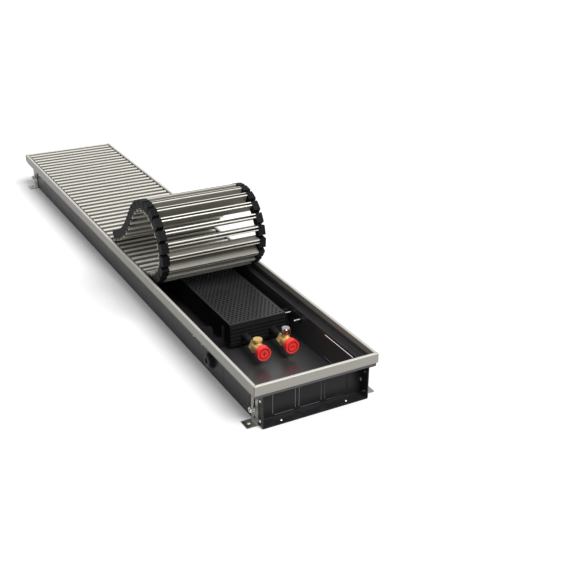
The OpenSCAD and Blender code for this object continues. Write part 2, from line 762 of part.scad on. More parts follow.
// Foot bolts, each with a clinch collar inside the trough wall, a lock nut and a head
collar_d = 12;
collar_h = 2;
head_h = 4;
module at_foot_bolts() {
    for (s = [-1, 1], y = [-foot_y, foot_y])
        translate([s * wall_x, y, bolt_z]) rotate([0, s * 90, 0]) children();
}
module foot_bolt() {
    hex_d = nut_af / cos(30);
    nut_from = foot_x - wall_x + run_gap;
    head_from = nut_from + bolt_out - head_h / 2;
    translate([0, 0, -sheet_t - collar_h]) cylinder(d = collar_d, h = collar_h);
    translate([0, 0, -sheet_t - collar_h])
        cylinder(d = bolt_d, h = sheet_t + collar_h + head_from + head_h / 2);
    translate([0, 0, nut_from]) cylinder(d = hex_d, h = nut_h, $fn = 6);
    translate([0, 0, head_from]) cylinder(d = hex_d, h = head_h, $fn = 6);
}
module foot_bolts() {
    color("#d0d0cc") at_foot_bolts() foot_bolt();
}

trough();
front_end_plate();
rear_end_plate();
seat_angle_left();
seat_angle_right();
seat_angle_front();
seat_angle_rear();
frame_rail_left();
frame_rail_right();
frame_rail_front();
frame_rail_rear();
flat_slats();
flat_spacers();
grille_cords();
exchanger_fins();
exchanger_pipes();
exchanger_cover();
exchanger_end_plates();
exchanger_brackets();
bracket_screws();
return_fitting();
flow_fitting();
return_cap();
flow_cap();
vent_plug();
vent_knob();
side_gland();
plate_rivets();
foot_bolts();
foot_front_left();
foot_front_right();
foot_rear_left();
foot_rear_right();
rolled_slat(0);  // rolled_slat_01
rolled_slat(1);  // rolled_slat_02
rolled_slat(2);  // rolled_slat_03
rolled_slat(3);  // rolled_slat_04
rolled_slat(4);  // rolled_slat_05
rolled_slat(5);  // rolled_slat_06
rolled_slat(6);  // rolled_slat_07
rolled_slat(7);  // rolled_slat_08
rolled_slat(8);  // rolled_slat_09
rolled_slat(9);  // rolled_slat_10
rolled_slat(10);  // rolled_slat_11
rolled_slat(11);  // rolled_slat_12
rolled_slat(12);  // rolled_slat_13
rolled_slat(13);  // rolled_slat_14
rolled_slat(14);  // rolled_slat_15
rolled_slat(15);  // rolled_slat_16
rolled_slat(16);  // rolled_slat_17
rolled_slat(17);  // rolled_slat_18
rolled_slat(18);  // rolled_slat_19
rolled_slat(19);  // rolled_slat_20
rolled_slat(20);  // rolled_slat_21
rolled_slat(21);  // rolled_slat_22
rolled_slat(22);  // rolled_slat_23
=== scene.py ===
"""Trench convector heater: the finishes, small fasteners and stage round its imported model."""

import math

import bmesh
import bpy
import numpy as np
from mathutils import Matrix, Vector


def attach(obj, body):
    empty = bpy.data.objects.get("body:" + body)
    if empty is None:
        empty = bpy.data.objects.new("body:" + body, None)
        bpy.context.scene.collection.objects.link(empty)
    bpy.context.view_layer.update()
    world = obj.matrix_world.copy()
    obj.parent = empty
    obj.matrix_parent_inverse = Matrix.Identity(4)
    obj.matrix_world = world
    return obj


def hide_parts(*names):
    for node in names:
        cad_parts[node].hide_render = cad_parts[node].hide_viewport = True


bl_info = {
    "name": "Trench Convector Heater",
    "version": (1, 0, 0),
    "blender": (4, 5, 0),
    "location": "View3D > Sidebar > Heater",
    "description": "Dresses a trench convector heater with its finishes and small fasteners",
    "category": "Object",
}

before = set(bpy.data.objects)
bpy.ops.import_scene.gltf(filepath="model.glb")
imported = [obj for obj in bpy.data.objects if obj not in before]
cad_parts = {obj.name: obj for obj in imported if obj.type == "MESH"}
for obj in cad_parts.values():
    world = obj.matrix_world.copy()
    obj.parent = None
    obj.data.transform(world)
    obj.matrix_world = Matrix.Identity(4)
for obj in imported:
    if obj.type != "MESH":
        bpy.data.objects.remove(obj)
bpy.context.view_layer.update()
MM = 0.001
SHORTEST = 0.01 * MM                # least length that can be set in the sidebar
WELD = 0.001 * MM                   # points closer than this are one corner of a solid
SHARP_ANGLE = math.radians(35)      # a sharper bend between two faces shows as an edge
FACING = 0.5                        # least share of a face's normal along what it faces
WHITE = (1.0, 1.0, 1.0, 1.0)

# Marks that are too fine to show in the render, 0.3 mm or less on the real pieces, so they are
# drawn coarser: the skin that a mould leaves, the wires of a cord, and the rings of a lathe
RUBBER_SKIN = 0.5 * MM
CAP_SKIN = 0.4 * MM
CORD_WIRE = 0.6 * MM
ZINC_RING = 0.5 * MM
BRASS_RING = 0.6 * MM
CHROME_RING = 1.2 * MM


def linear(hex_colour):
    """An sRGB hex colour such as "8a8880" as a linear RGBA colour."""
    shares = [int(hex_colour[i:i + 2], 16) / 255 for i in (0, 2, 4)]
    channels = [share / 12.92 if share <= 0.04045 else ((share + 0.055) / 1.055) ** 2.4
                for share in shares]
    return (*channels, 1.0)


def colour_property(name, description, hex_colour):
    """A colour for the sidebar, from its sRGB hex value."""
    return bpy.props.FloatVectorProperty(
        name=name, description=description, subtype="COLOR", size=4, min=0, max=1,
        default=linear(hex_colour))


def length_property(name, description, millimetres):
    """A length for the sidebar, from its value in millimetres."""
    return bpy.props.FloatProperty(
        name=name, description=description, unit="LENGTH", min=SHORTEST,
        default=millimetres * MM)


class HeaterFinishes(bpy.types.PropertyGroup):
    """Colours and pattern sizes of the surfaces."""
    coat_colour: colour_property("Powder coat", "Colour of the casing's outside", "1e1e20")
    # Inside coat: the outside's black, lighter as painted light inside the trough and on the seat
    # angles
    inside_lit_colour: colour_property("Inside coat", "Colour of the trough's inside", "303032")
    coat_peel: length_property("Orange peel", "Width of a bump in the powder coat", 1.6)
    frame_colour: colour_property("Frame", "Colour of the frame's anodised skirt", "a09d95")
    # The frame lip is the skirt's anodised metal, lighter as a painted highlight on what faces up
    lip_highlight_colour: colour_property("Frame lip", "Colour of the frame's polished lip", "cbc8c0")
    slat_colour: colour_property("Slats", "Colour of the slats' polished tops and lips", "dddad2")
    # Slat sides: a darker copy of the slats' colour, painted shade between the slats
    slat_shade_colour: colour_property("Slat sides", "Colour of the slats' duller side walls", "858279")
    # Real brush lines are about 0.1 mm wide. These are wider, so that they show in the render.
    brush_width: length_property("Brush line", "Width of a brush line in the metal", 0.7)
    brush_length: length_property("Brush length", "Length of a brush line in the metal", 90)
    rubber_colour: colour_property("Rubber", "Colour of the links and the gland", "0c0c0f")
    fin_colour: colour_property("Fins", "Colour of the fins, pipes and end plates", "161617")
    cover_colour: colour_property("Cover", "Colour of the perforated cover", "2b2b2c")
    cap_colour: colour_property("Caps", "Colour of the plastic caps", "ff3b37")
    # The cap marks' darker red is painted shade in the sunk rings and signs
    mark_shade_colour: colour_property("Cap marks", "Colour of the sunk rings and signs", "a81c1c")
    brass_colour: colour_property("Brass", "Colour of the pipe fittings", "efcf88")
    chrome_colour: colour_property("Chrome", "Colour of the vent knob", "acacae")
    zinc_colour: colour_property("Zinc", "Colour of the screws, rivets, bolts and cords", "d6d6d2")
    foot_colour: colour_property("Feet", "Colour of the galvanised feet", "9c9a94")
    spangle: length_property("Spangle", "Width of a zinc crystal on the feet", 5)


class HeaterFasteners(bpy.types.PropertyGroup):
    """Sizes of the small fasteners. Their places and outer sizes come from the frame."""
    screw_head_h: length_property("Screw head", "Height of a bracket screw's head", 2)
    screw_core: length_property("Screw core", "Core diameter of a bracket screw", 2.9)
    screw_d: length_property("Screw thread", "Outer diameter of a bracket screw", 4)
    screw_pitch: length_property("Screw pitch", "Distance between two crests of the screw", 1.4)
    recess: length_property("Recess", "Width over the cross recess of a screw", 4.2)
    recess_slot: length_property("Recess slot", "Width of one slot of the recess", 1.1)
    recess_depth: length_property("Recess depth", "Depth of the cross recess", 1.3)
    rivet_d: length_property("Rivet", "Diameter of a rivet's shank", 3.2)
    rivet_head_h: length_property("Rivet head", "Height of a rivet's head", 1.4)
    mandrel_d: length_property("Mandrel", "Diameter of the broken mandrel in a rivet", 1.8)
    bolt_d: length_property("Bolt", "Outer diameter of a foot bolt", 6)
    bolt_core: length_property("Bolt core", "Core diameter of a foot bolt", 5)
    bolt_pitch: length_property("Bolt pitch", "Distance between two crests of the bolt", 1)
    collar: length_property("Clinch collar", "Height of the collar inside the wall", 2)
    hexagon: length_property("Hexagon", "Width across the flats of the nuts and heads", 10)
    hexagon_h: length_property("Hexagon height", "Height of the nuts and heads", 4)
    nut_from: length_property("Nut", "Distance from a collar's wall side to its nut", 3.8)


class HeaterStage(bpy.types.PropertyGroup):
    """Floor, light and lens."""
    floor_colour: colour_property("Floor", "Colour of the floor in the picture", "f4f4f4")
    bounce_colour: colour_property(
        "Bounce", "Colour of the floor for the light that it throws back on the heater", "9a9a9a")
    floor_glow: bpy.props.FloatProperty(
        name="Floor glow", description="Light that the floor adds to itself in the picture",
        default=0.06, min=0)
    sun_size: bpy.props.FloatProperty(
        name="Light size", description="Angle that the main light fills, which softens shadows",
        subtype="ANGLE", default=math.radians(34), min=0)
    sun_strength: bpy.props.FloatProperty(
        name="Main light", description="Strength of the main light", default=3.0, min=0)
    sky_strength: bpy.props.FloatProperty(
        name="Sky", description="Strength of the light from all round", default=0.45, min=0)
    lens: bpy.props.FloatProperty(
        name="Lens", description="Focal length on a 36 mm frame", default=59.1, min=10)


def node(tree, kind, inputs=None, **settings):
    """Adds a node, sets its properties and fills its inputs with values or other sockets."""
    made = tree.nodes.new(kind)
    for name, value in settings.items():
        setattr(made, name, value)
    for name, value in (inputs or {}).items():
        if isinstance(value, bpy.types.NodeSocket):
            tree.links.new(value, made.inputs[name])
        else:
            made.inputs[name].default_value = value
    return made


def start_material(name, surface):
    """A material whose shader has the given constants. Returns it, its nodes and the shader."""
    made = bpy.data.materials.new(name)
    made.use_nodes = True
    tree = made.node_tree
    tree.nodes.clear()
    shader = node(tree, "ShaderNodeBsdfPrincipled", surface)
    node(tree, "ShaderNodeOutputMaterial", {"Surface": shader.outputs[0]})
    return made, tree, shader


def grain(tree, size, detail=2.0, along=(1, 1, 1)):
    """Noise with grains of that size in metres, drawn out by the given factors."""
    place = node(tree, "ShaderNodeTexCoord").outputs["Object"]
    stretched = node(tree, "ShaderNodeMapping", {
        "Vector": place, "Scale": [1 / (size * a) for a in along]})
    return node(tree, "ShaderNodeTexNoise", {
        "Vector": stretched.outputs[0], "Scale": 1.0, "Detail": detail}).outputs["Fac"]


def link_patterns(tree, shader, colour, tint, rough, bumps):
    """Gives a shader its patterns: tint with the least and most share of the colour, rough with
    the least and most roughness, and bumps with their depth in metres. The middle half of a
    pattern's values is spread over that share and roughness, because noise seldom leaves it."""
    share, roughness = [
        node(tree, "ShaderNodeMapRange", {
            "Value": pattern, "From Min": 0.25, "From Max": 0.75, "To Min": least,
            "To Max": most}).outputs[0]
        for pattern, least, most in (tint, rough)]
    shade = node(tree, "ShaderNodeMix", {"Factor": 1.0, "A": colour, "B": share},
                 data_type="RGBA", blend_type="MULTIPLY")
    height, depth = bumps
    relief = node(tree, "ShaderNodeBump", {"Height": height, "Distance": depth, "Strength": 1.0})
    tree.links.new(shade.outputs["Result"], shader.inputs["Base Color"])
    tree.links.new(roughness, shader.inputs["Roughness"])
    tree.links.new(relief.outputs[0], shader.inputs["Normal"])


def powder_coat(name, colour, peel, roughness, gloss=0.4):
    """Baked polyester powder on steel: an even black with orange peel that breaks up highlights,
    and a little lighter and duller in patches."""
    made, tree, shader = start_material(name, {"IOR": 1.5, "Specular IOR Level": gloss})
    patch, peel_depth = 60 * MM, 0.05 * MM
    cloud = grain(tree, patch)
    link_patterns(tree, shader, colour, tint=(cloud, 0.92, 1.08),
                  rough=(cloud, roughness - 0.04, roughness + 0.05),
                  bumps=(grain(tree, peel), peel_depth))
    return made


def brushed_metal(name, colour, width, length, axis, roughness):
    """Anodised aluminium: fine lines along the extrusion draw its highlights out across them,
    and the oxide film scatters part of the light, so that what faces up looks nearly white."""
    made, tree, shader = start_material(name, {"Metallic": 0.3})
    patch, line_depth, least_dull = 45 * MM, 0.02 * MM, 0.2
    along = [length / width if a == axis else 1 for a in "XYZ"]
    lines = grain(tree, width, 4.0, along)
    dull = node(tree, "ShaderNodeMath", {0: lines, 1: grain(tree, patch), 2: least_dull},
                operation="MULTIPLY_ADD").outputs[0]
    link_patterns(tree, shader, colour, tint=(lines, 0.86, 1.06),
                  rough=(dull, roughness - 0.05, roughness + 0.08), bumps=(lines, line_depth))
    return made


def moulded(name, colour, skin_size, roughness, gloss=0.5):
    """Moulded rubber or plastic: a fine sparked skin that dulls the highlights."""
    made, tree, shader = start_material(name, {"IOR": 1.5, "Specular IOR Level": gloss})
    patch, skin_depth = 12 * MM, 0.03 * MM
    sparks = grain(tree, skin_size, 3.0)
    link_patterns(tree, shader, colour, tint=(grain(tree, patch), 0.9, 1.1),
                  rough=(sparks, roughness - 0.06, roughness + 0.06), bumps=(sparks, skin_depth))
    return made


def turned_metal(name, colour, ring_size, axis, roughness, metallic=1.0):
    """Metal turned on a lathe: fine rings across the axis that stretch the highlights. Below 1,
    metallic stands for the tarnish on brass that scatters a part of the light."""
    made, tree, shader = start_material(name, {"Metallic": metallic})
    stain, ring_depth, ring_stretch = 9 * MM, 0.02 * MM, 40
    along = [1 if a == axis else ring_stretch for a in "XYZ"]
    rings = grain(tree, ring_size, 3.0, along)
    link_patterns(tree, shader, colour, tint=(grain(tree, stain), 0.85, 1.08),
                  rough=(rings, roughness - 0.05, roughness + 0.08), bumps=(rings, ring_depth))
    return made


def galvanised(name, colour, spangle):
    """Hot-dip galvanised steel: zinc crystals, each a little lighter or duller than the next."""
    made, tree, shader = start_material(name, {"Metallic": 1.0})
    dross, dross_depth = 0.8 * MM, 0.02 * MM
    place = node(tree, "ShaderNodeTexCoord").outputs["Object"]
    cells = node(tree, "ShaderNodeTexVoronoi", {"Vector": place, "Scale": 1 / spangle})
    tone = node(tree, "ShaderNodeSeparateColor", {"Color": cells.outputs["Color"]}).outputs[0]
    link_patterns(tree, shader, colour, tint=(tone, 0.8, 1.1), rough=(tone, 0.3, 0.46),
                  bumps=(grain(tree, dross), dross_depth))
    return made


MATERIALS = {}


def make_materials(looks):
    """Every finish of the heater, by a short name."""
    coated = dict(peel=looks.coat_peel)
    brushed = dict(width=looks.brush_width, length=looks.brush_length)
    MATERIALS.update(
        # The inside is the same black coat, given a lighter colour as painted light
        # Semi-gloss outside, and glossier inside, where the trough's floor mirrors the caps
        coat=powder_coat("Powder_coated_steel", looks.coat_colour, roughness=0.34, gloss=0.22,
                         **coated),
        inside=powder_coat("Powder_coated_inside_lit", looks.inside_lit_colour, roughness=0.32,
                           gloss=0.85, **coated),
        # The coat is thin and dull on a cut edge, which keeps the slits dark
        cut=powder_coat("Coated_cut_edge", looks.coat_colour, roughness=0.8, gloss=0.02,
                        **coated),
        fins=powder_coat("Lacquered_fins", looks.fin_colour, roughness=0.55, gloss=0.25,
                         **coated),
        cover=powder_coat("Coated_cover", looks.cover_colour, roughness=0.4, **coated),
        # Brushed along each rail; what faces up gets a lighter copy as a painted highlight, a
        # bright line
        frame_long=brushed_metal("Anodised_rail_long", looks.frame_colour, axis="Y",
                                 roughness=0.5, **brushed),
        frame_cross=brushed_metal("Anodised_rail_cross", looks.frame_colour, axis="X",
                                  roughness=0.5, **brushed),
        lip_long=brushed_metal("Painted_highlight_lip_long", looks.lip_highlight_colour, axis="Y",
                               roughness=0.45, **brushed),
        lip_cross=brushed_metal("Painted_highlight_lip_cross", looks.lip_highlight_colour, axis="X",
                                roughness=0.45, **brushed),
        # Anodised all over; a darker copy on the side walls is painted shade that makes the gaps
        # darker
        slat=brushed_metal("Anodised_slat", looks.slat_colour, axis="X", roughness=0.45,
                           **brushed),
        slat_side=brushed_metal("Anodised_slat_side", looks.slat_shade_colour, axis="X",
                                roughness=0.55, **brushed),
        # Matt black rubber, and glossy plastic, duller in its sunk marks and darker there as
        # painted shade
        link=moulded("Rubber_link", looks.rubber_colour, RUBBER_SKIN, roughness=0.65,
                     gloss=0.12),
        gland=moulded("Rubber_gland", looks.rubber_colour, RUBBER_SKIN, roughness=0.6),
        cap=moulded("Polyethylene_cap", looks.cap_colour, CAP_SKIN, roughness=0.34),
        cap_mark=moulded("Polyethylene_mark_painted_shade", looks.mark_shade_colour, CAP_SKIN, roughness=0.45),
        # Zinc is pale and half dull, old brass warm and soft, and chrome nearly a mirror
        wire=turned_metal("Galvanised_cord", looks.zinc_colour, CORD_WIRE, "Y", roughness=0.4),
        zinc=turned_metal("Zinc_plated_steel", looks.zinc_colour, ZINC_RING, "X",
                          roughness=0.28),
        brass=turned_metal("Turned_brass", looks.brass_colour, BRASS_RING, "Y", roughness=0.36,
                           metallic=0.6),
        chrome=turned_metal("Chromed_brass", looks.chrome_colour, CHROME_RING, "Z",
                            roughness=0.12),
        foot=galvanised("Galvanised_foot", looks.foot_colour, looks.spangle))


def dress(name, *materials):
    """Gives a CAD node its finishes in place of its own material."""
    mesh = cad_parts[name].data
    mesh.materials.clear()
    for material in materials:
        mesh.materials.append(MATERIALS[material])
    return mesh


def solids(mesh):
    """The number of the separate solid that each face belongs to, and each solid's box."""
    points = np.array([vertex.co for vertex in mesh.vertices])
    _, same = np.unique(np.round(points / WELD).astype(int), axis=0, return_inverse=True)
    same = same.ravel()
    root = list(range(same.max() + 1))

    def find(i):
        while root[i] != i:
            root[i] = root[root[i]]
            i = root[i]
        return i

    for face in mesh.polygons:
        first = find(same[face.vertices[0]])
        for v in face.vertices[1:]:
            root[find(same[v])] = first
    owner = np.array([find(same[face.vertices[0]]) for face in mesh.polygons])
    vertex_owner = np.array([find(i) for i in same])
    boxes = {}
    for solid in set(owner):
        own = points[vertex_owner == solid]
        boxes[solid] = (own.min(0), own.max(0))
    return owner, boxes


def side_walls(faces):
    """The faces of a slat's two side walls, which have more area than its top and lips."""
    along_wall = 0.7
    normals = np.array([face.normal for face in faces])[:, 1:]
    areas = np.array([face.area for face in faces])
    side = np.linalg.eigh((normals * areas[:, None]).T @ normals)[1][:, -1]
    return [face for face, normal in zip(faces, normals) if abs(normal @ side) > along_wall]


def dress_rolled_slat(name):
    """Aluminium on the slat, rubber on its two links and zinc on its two bits of cord."""
    mesh = dress(name, "slat", "link", "wire", "slat_side")
    slat, link, cord, side = range(4)
    slat_over, cord_under = 100 * MM, 4 * MM
    owner, boxes = solids(mesh)
    kind = {}
    for solid, (low, high) in boxes.items():
        across = high[0] - low[0]
        kind[solid] = slat if across > slat_over else cord if across < cord_under else link
    for face, solid in zip(mesh.polygons, owner):
        face.material_index = kind[solid]
    # The side walls get the darker copy, painted shade between the slats
    for face in side_walls([face for face in mesh.polygons if face.material_index == slat]):
        face.material_index = side


def dress_cap(name):
    """Plastic on a cap, darker as painted shade where its ring and sign are sunk into its face."""
    mesh = dress(name, "cap", "cap_mark")
    points = np.array([vertex.co for vertex in mesh.vertices])
    low, high = points.min(0), points.max(0)
    middle, radius = (low + high) / 2, (high[0] - low[0]) / 2
    skin_depth, mark_depth, mark_reach = 0.05 * MM, 1.6 * MM, 0.8 * radius
    for face in mesh.polygons:
        sunk = skin_depth < face.center.y - low[1] < mark_depth
        out = math.hypot(face.center.x - middle[0], face.center.z - middle[2])
        face.material_index = int(sunk and out < mark_reach)


def ring(bm, height, radius, steps=32):
    """A ring of vertices about Z. The radius is a length or a function of the angle."""
    made = []
    for i in range(steps):
        angle = 2 * math.pi * i / steps
        out = radius(angle) if callable(radius) else radius
        made.append(bm.verts.new((out * math.cos(angle), out * math.sin(angle), height)))
    return made


def skin(bm, rings, closed=(True, True)):
    """Joins rings of vertices by faces, and closes the first and the last ring where asked."""
    for low, high in zip(rings, rings[1:]):
        for i in range(len(low)):
            j = (i + 1) % len(low)
            bm.faces.new((low[i], low[j], high[j], high[i]))
    for end, shut in zip((rings[0], rings[-1]), closed):
        if shut:
            bm.faces.new(end)


def turned(bm, profile):
    """A closed solid of revolution about Z from points of radius and height."""
    skin(bm, [ring(bm, height, radius) for radius, height in profile])


def threaded(bm, low, high, outer, core, pitch):
    """A rod with a real helical thread, run out at both ends."""
    steps, rings_a_turn = 24, 6
    count = round((high - low) / pitch * rings_a_turn)
    rings = []
    for k in range(count + 1):
        height = low + (high - low) * k / count
        runout = min(1.0, (height - low) / pitch, (high - height) / pitch)

        def radius(angle):
            phase = (height / pitch - angle / (2 * math.pi)) % 1
            crest = 1 - abs(2 * phase - 1)
            return (core + (outer - core) * crest * runout) / 2

        rings.append(ring(bm, height, radius, steps))
    skin(bm, rings)


def hexagon(bm, low, high, flats):
    """A hexagonal nut or head, with its corners chamfered as they are turned."""
    steps, chamfer_angle = 48, math.radians(30)

    def outline(angle):
        return flats / 2 / math.cos((angle + math.pi / 6) % (math.pi / 3) - math.pi / 6)

    def trimmed(angle):
        return min(outline(angle), flats / 2)

    chamfer = (flats / math.sqrt(3) - flats / 2) * math.tan(chamfer_angle)
    skin(bm, [ring(bm, low, trimmed, steps), ring(bm, low + chamfer, outline, steps),
              ring(bm, high - chamfer, outline, steps), ring(bm, high, trimmed, steps)])


def screw(bm, head_d, length, sizes):
    """A pan-head screw with a cross recess that narrows downwards. Its head stands on Z = 0."""
    threaded(bm, -length, 0, sizes.screw_d, sizes.screw_core, sizes.screw_pitch)
    head_h, rim, narrowed = sizes.screw_head_h, head_d / 2, 0.7
    edge = 0.35 * head_h
    outline = [(0.5 * sizes.screw_d, 0), (rim, 0), (rim, head_h - 2 * edge),
               (rim - edge, head_h - 0.6 * edge), (rim - 2 * edge, head_h)]
    rings = [ring(bm, height, radius) for radius, height in outline]
    skin(bm, rings, (True, False))
    reach, half = sizes.recess / 2, sizes.recess_slot / 2
    quarter = [Vector((reach, -half)), Vector((reach, half)), Vector((half, half))]
    cross = [Matrix.Rotation(math.radians(90 * k), 2) @ point for k in range(4)
             for point in quarter]
    top = [bm.verts.new((*point, head_h)) for point in cross]
    low = [bm.verts.new((*(narrowed * point), head_h - sizes.recess_depth)) for point in cross]
    skin(bm, [top, low], (False, True))
    loops = [(v, loop[(i + 1) % len(loop)]) for loop in (rings[-1], top)
             for i, v in enumerate(loop)]
    edges = [bm.edges.get(pair) or bm.edges.new(pair) for pair in loops]
    bmesh.ops.triangle_fill(bm, use_beauty=True, edges=edges)


def rivet(bm, head_d, length, tail_d, sizes):
    """A blind rivet: a domed head with the mandrel broken off in it, and its set tail."""
    dome_steps, dome_power = 6, 2.4
    head_h, hole, rim = sizes.rivet_head_h, sizes.mandrel_d / 2, head_d / 2
    mandrel_top, shank_end = 0.45 * head_h, -0.6 * length
    bulge_top, bulge_bottom, end_radius = -0.75 * length, -0.95 * length, 0.4 * tail_d
    profile = [(hole, mandrel_top), (hole, head_h)]
    for k in range(1, dome_steps + 1):
        share = k / dome_steps
        profile.append((hole + (rim - hole) * share, head_h * (1 - share ** dome_power)))
    profile += [(sizes.rivet_d / 2, 0), (sizes.rivet_d / 2, shank_end),
                (tail_d / 2, bulge_top), (tail_d / 2, bulge_bottom), (end_radius, -length)]
    turned(bm, profile)


def foot_bolt(bm, collar_d, length, sizes):
    """A clinch bolt: its collar inside the wall, then a lock nut and a hexagon head."""
    rim, edge = collar_d / 2, 0.15 * sizes.collar
    turned(bm, [(rim - edge, 0), (rim, edge), (rim, sizes.collar - edge),
                (rim - edge, sizes.collar)])
    threaded(bm, 0, length, sizes.bolt_d, sizes.bolt_core, sizes.bolt_pitch)
    nut = sizes.collar + sizes.nut_from
    hexagon(bm, nut, nut + sizes.hexagon_h, sizes.hexagon)
    hexagon(bm, length - sizes.hexagon_h, length, sizes.hexagon)


def piece(name, bm, body, material, stands_for):
    """Turns a bmesh into a piece that rides on a body and stands for a CAD node."""
    bmesh.ops.recalc_face_normals(bm, faces=bm.faces)
    mesh = bpy.data.meshes.new(name)
    bm.to_mesh(mesh)
    bm.free()
    made = bpy.data.objects.new(name, mesh)
    bpy.context.scene.collection.objects.link(made)
    mesh.materials.append(MATERIALS[material])
    mesh.shade_smooth()
    mesh.set_sharp_from_angle(angle=SHARP_ANGLE)
    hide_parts(stands_for)
    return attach(made, body)


def set_copies(bm, build, *args, places):
    """Builds a small mesh once and adds a copy of it at every place."""
    one = bmesh.new()
    build(one, *args)
    mesh = bpy.data.meshes.new("part")
    one.to_mesh(mesh)
    one.free()
    for place in places:
        start = len(bm.verts)
        bm.from_mesh(mesh)
        bm.verts.ensure_lookup_table()
        bmesh.ops.transform(bm, matrix=place, verts=bm.verts[start:])
    bpy.data.meshes.remove(mesh)


def facing(origin, out):
    """The place of something that stands on Z = 0, with its Z turned to the direction out."""
    return Matrix.Translation(origin) @ out.to_track_quat("Z", "Y").to_matrix().to_4x4()


def solid_boxes(name):
    """The lowest and highest corner of each separate solid of a CAD node."""
    _, boxes = solids(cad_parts[name].data)
    return [(Vector(low), Vector(high)) for low, high in boxes.values()]


def outward(low, high, from_end):
    """A place on the outer end of a box that lies across the unit, or so far in from it."""
    side = 1 if low.x + high.x > 0 else -1
    middle = (low + high) / 2
    middle.x = (high.x if side > 0 else low.x) - side * from_end
    return facing(middle, Vector((side, 0, 0)))


class HEATER_OT_casing(bpy.types.Operator):
    """Powder coats the trough, the seat angles, the end plates and the brackets"""
    bl_idname = "heater.casing"
    bl_label = "Casing"

    def execute(self, context):
        dress("exchanger_brackets", "coat")
        for side in ("left", "right", "front", "rear"):
            dress("seat_angle_" + side, "inside")
        self.end_plate("front_end_plate")
        self.end_plate("rear_end_plate")
        self.trough()
        return {"FINISHED"}

    def end_plate(self, name):
        """Finds the cut edges of the slits in the plate's upright sheet, which is 1.2 mm thick."""
        mesh = dress(name, "coat", "cut")
        over_sheet = 1.3 * MM
        inner = min(abs(v.co.y) for v in mesh.vertices)
        for face in mesh.polygons:
            in_sheet = abs(face.center.y) < inner + over_sheet
            face.material_index = int(in_sheet and abs(face.normal.y) < FACING)

    def trough(self):
        """Finds the trough's inside: its walls' faces towards the middle, and what faces up."""
        mesh = dress("trough", "coat", "inside")
        for face in mesh.polygons:
            inward = -face.normal.x * math.copysign(1, face.center.x)
            # These faces get the inside coat, lighter as painted light
            face.material_index = int(inward > FACING or face.normal.z > FACING)


class HEATER_OT_frame(bpy.types.Operator):
    """Gives the four mitred rails their anodised skirt and their lip, lighter as a painted
    highlight
    """
    bl_idname = "heater.frame"
    bl_label = "Frame"

    def execute(self, context):
        for side, run in (("left", "long"), ("right", "long"), ("front", "cross"),
                          ("rear", "cross")):
            rail = dress("frame_rail_" + side, "frame_" + run, "lip_" + run)
            for face in rail.polygons:
                # What faces up gets the lighter lip colour, a painted highlight
                face.material_index = int(face.normal.z > FACING)
        return {"FINISHED"}


class HEATER_OT_grille(bpy.types.Operator):
    """Finishes the slats, their rubber links and the cords"""
    bl_idname = "heater.grille"
    bl_label = "Grille"

    def execute(self, context):
        flat = dress("flat_slats", "slat", "slat_side")
        # The side walls get the darker copy, painted shade between the slats
        for face in side_walls(flat.polygons):
            face.material_index = 1
        dress("flat_spacers", "link")
        dress("grille_cords", "wire")
        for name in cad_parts:
            if name.startswith("rolled_slat_"):
                dress_rolled_slat(name)
        return {"FINISHED"}


class HEATER_OT_exchanger(bpy.types.Operator):
    """Lacquers the fins, pipes, cover and end plates"""
    bl_idname = "heater.exchanger"
    bl_label = "Heat exchanger"

    def execute(self, context):
        for name in ("fins", "pipes", "end_plates"):
            dress("exchanger_" + name, "fins")
        dress("exchanger_cover", "cover")
        return {"FINISHED"}


class HEATER_OT_fittings(bpy.types.Operator):
    """Finishes the brass fittings, caps, vent plug, vent knob and gland"""
    bl_idname = "heater.fittings"
    bl_label = "Fittings"

    def execute(self, context):
        for name in ("return_fitting", "flow_fitting", "vent_plug"):
            dress(name, "brass")
        dress("vent_knob", "chrome")
        dress("side_gland", "gland")
        for name in ("return_cap", "flow_cap"):
            dress_cap(name)
        return {"FINISHED"}


class HEATER_OT_feet(bpy.types.Operator):
    """Galvanises the feet"""
    bl_idname = "heater.feet"
    bl_label = "Feet"

    def execute(self, context):
        for end in ("front", "rear"):
            for side in ("left", "right"):
                dress(f"foot_{end}_{side}", "foot")
        return {"FINISHED"}


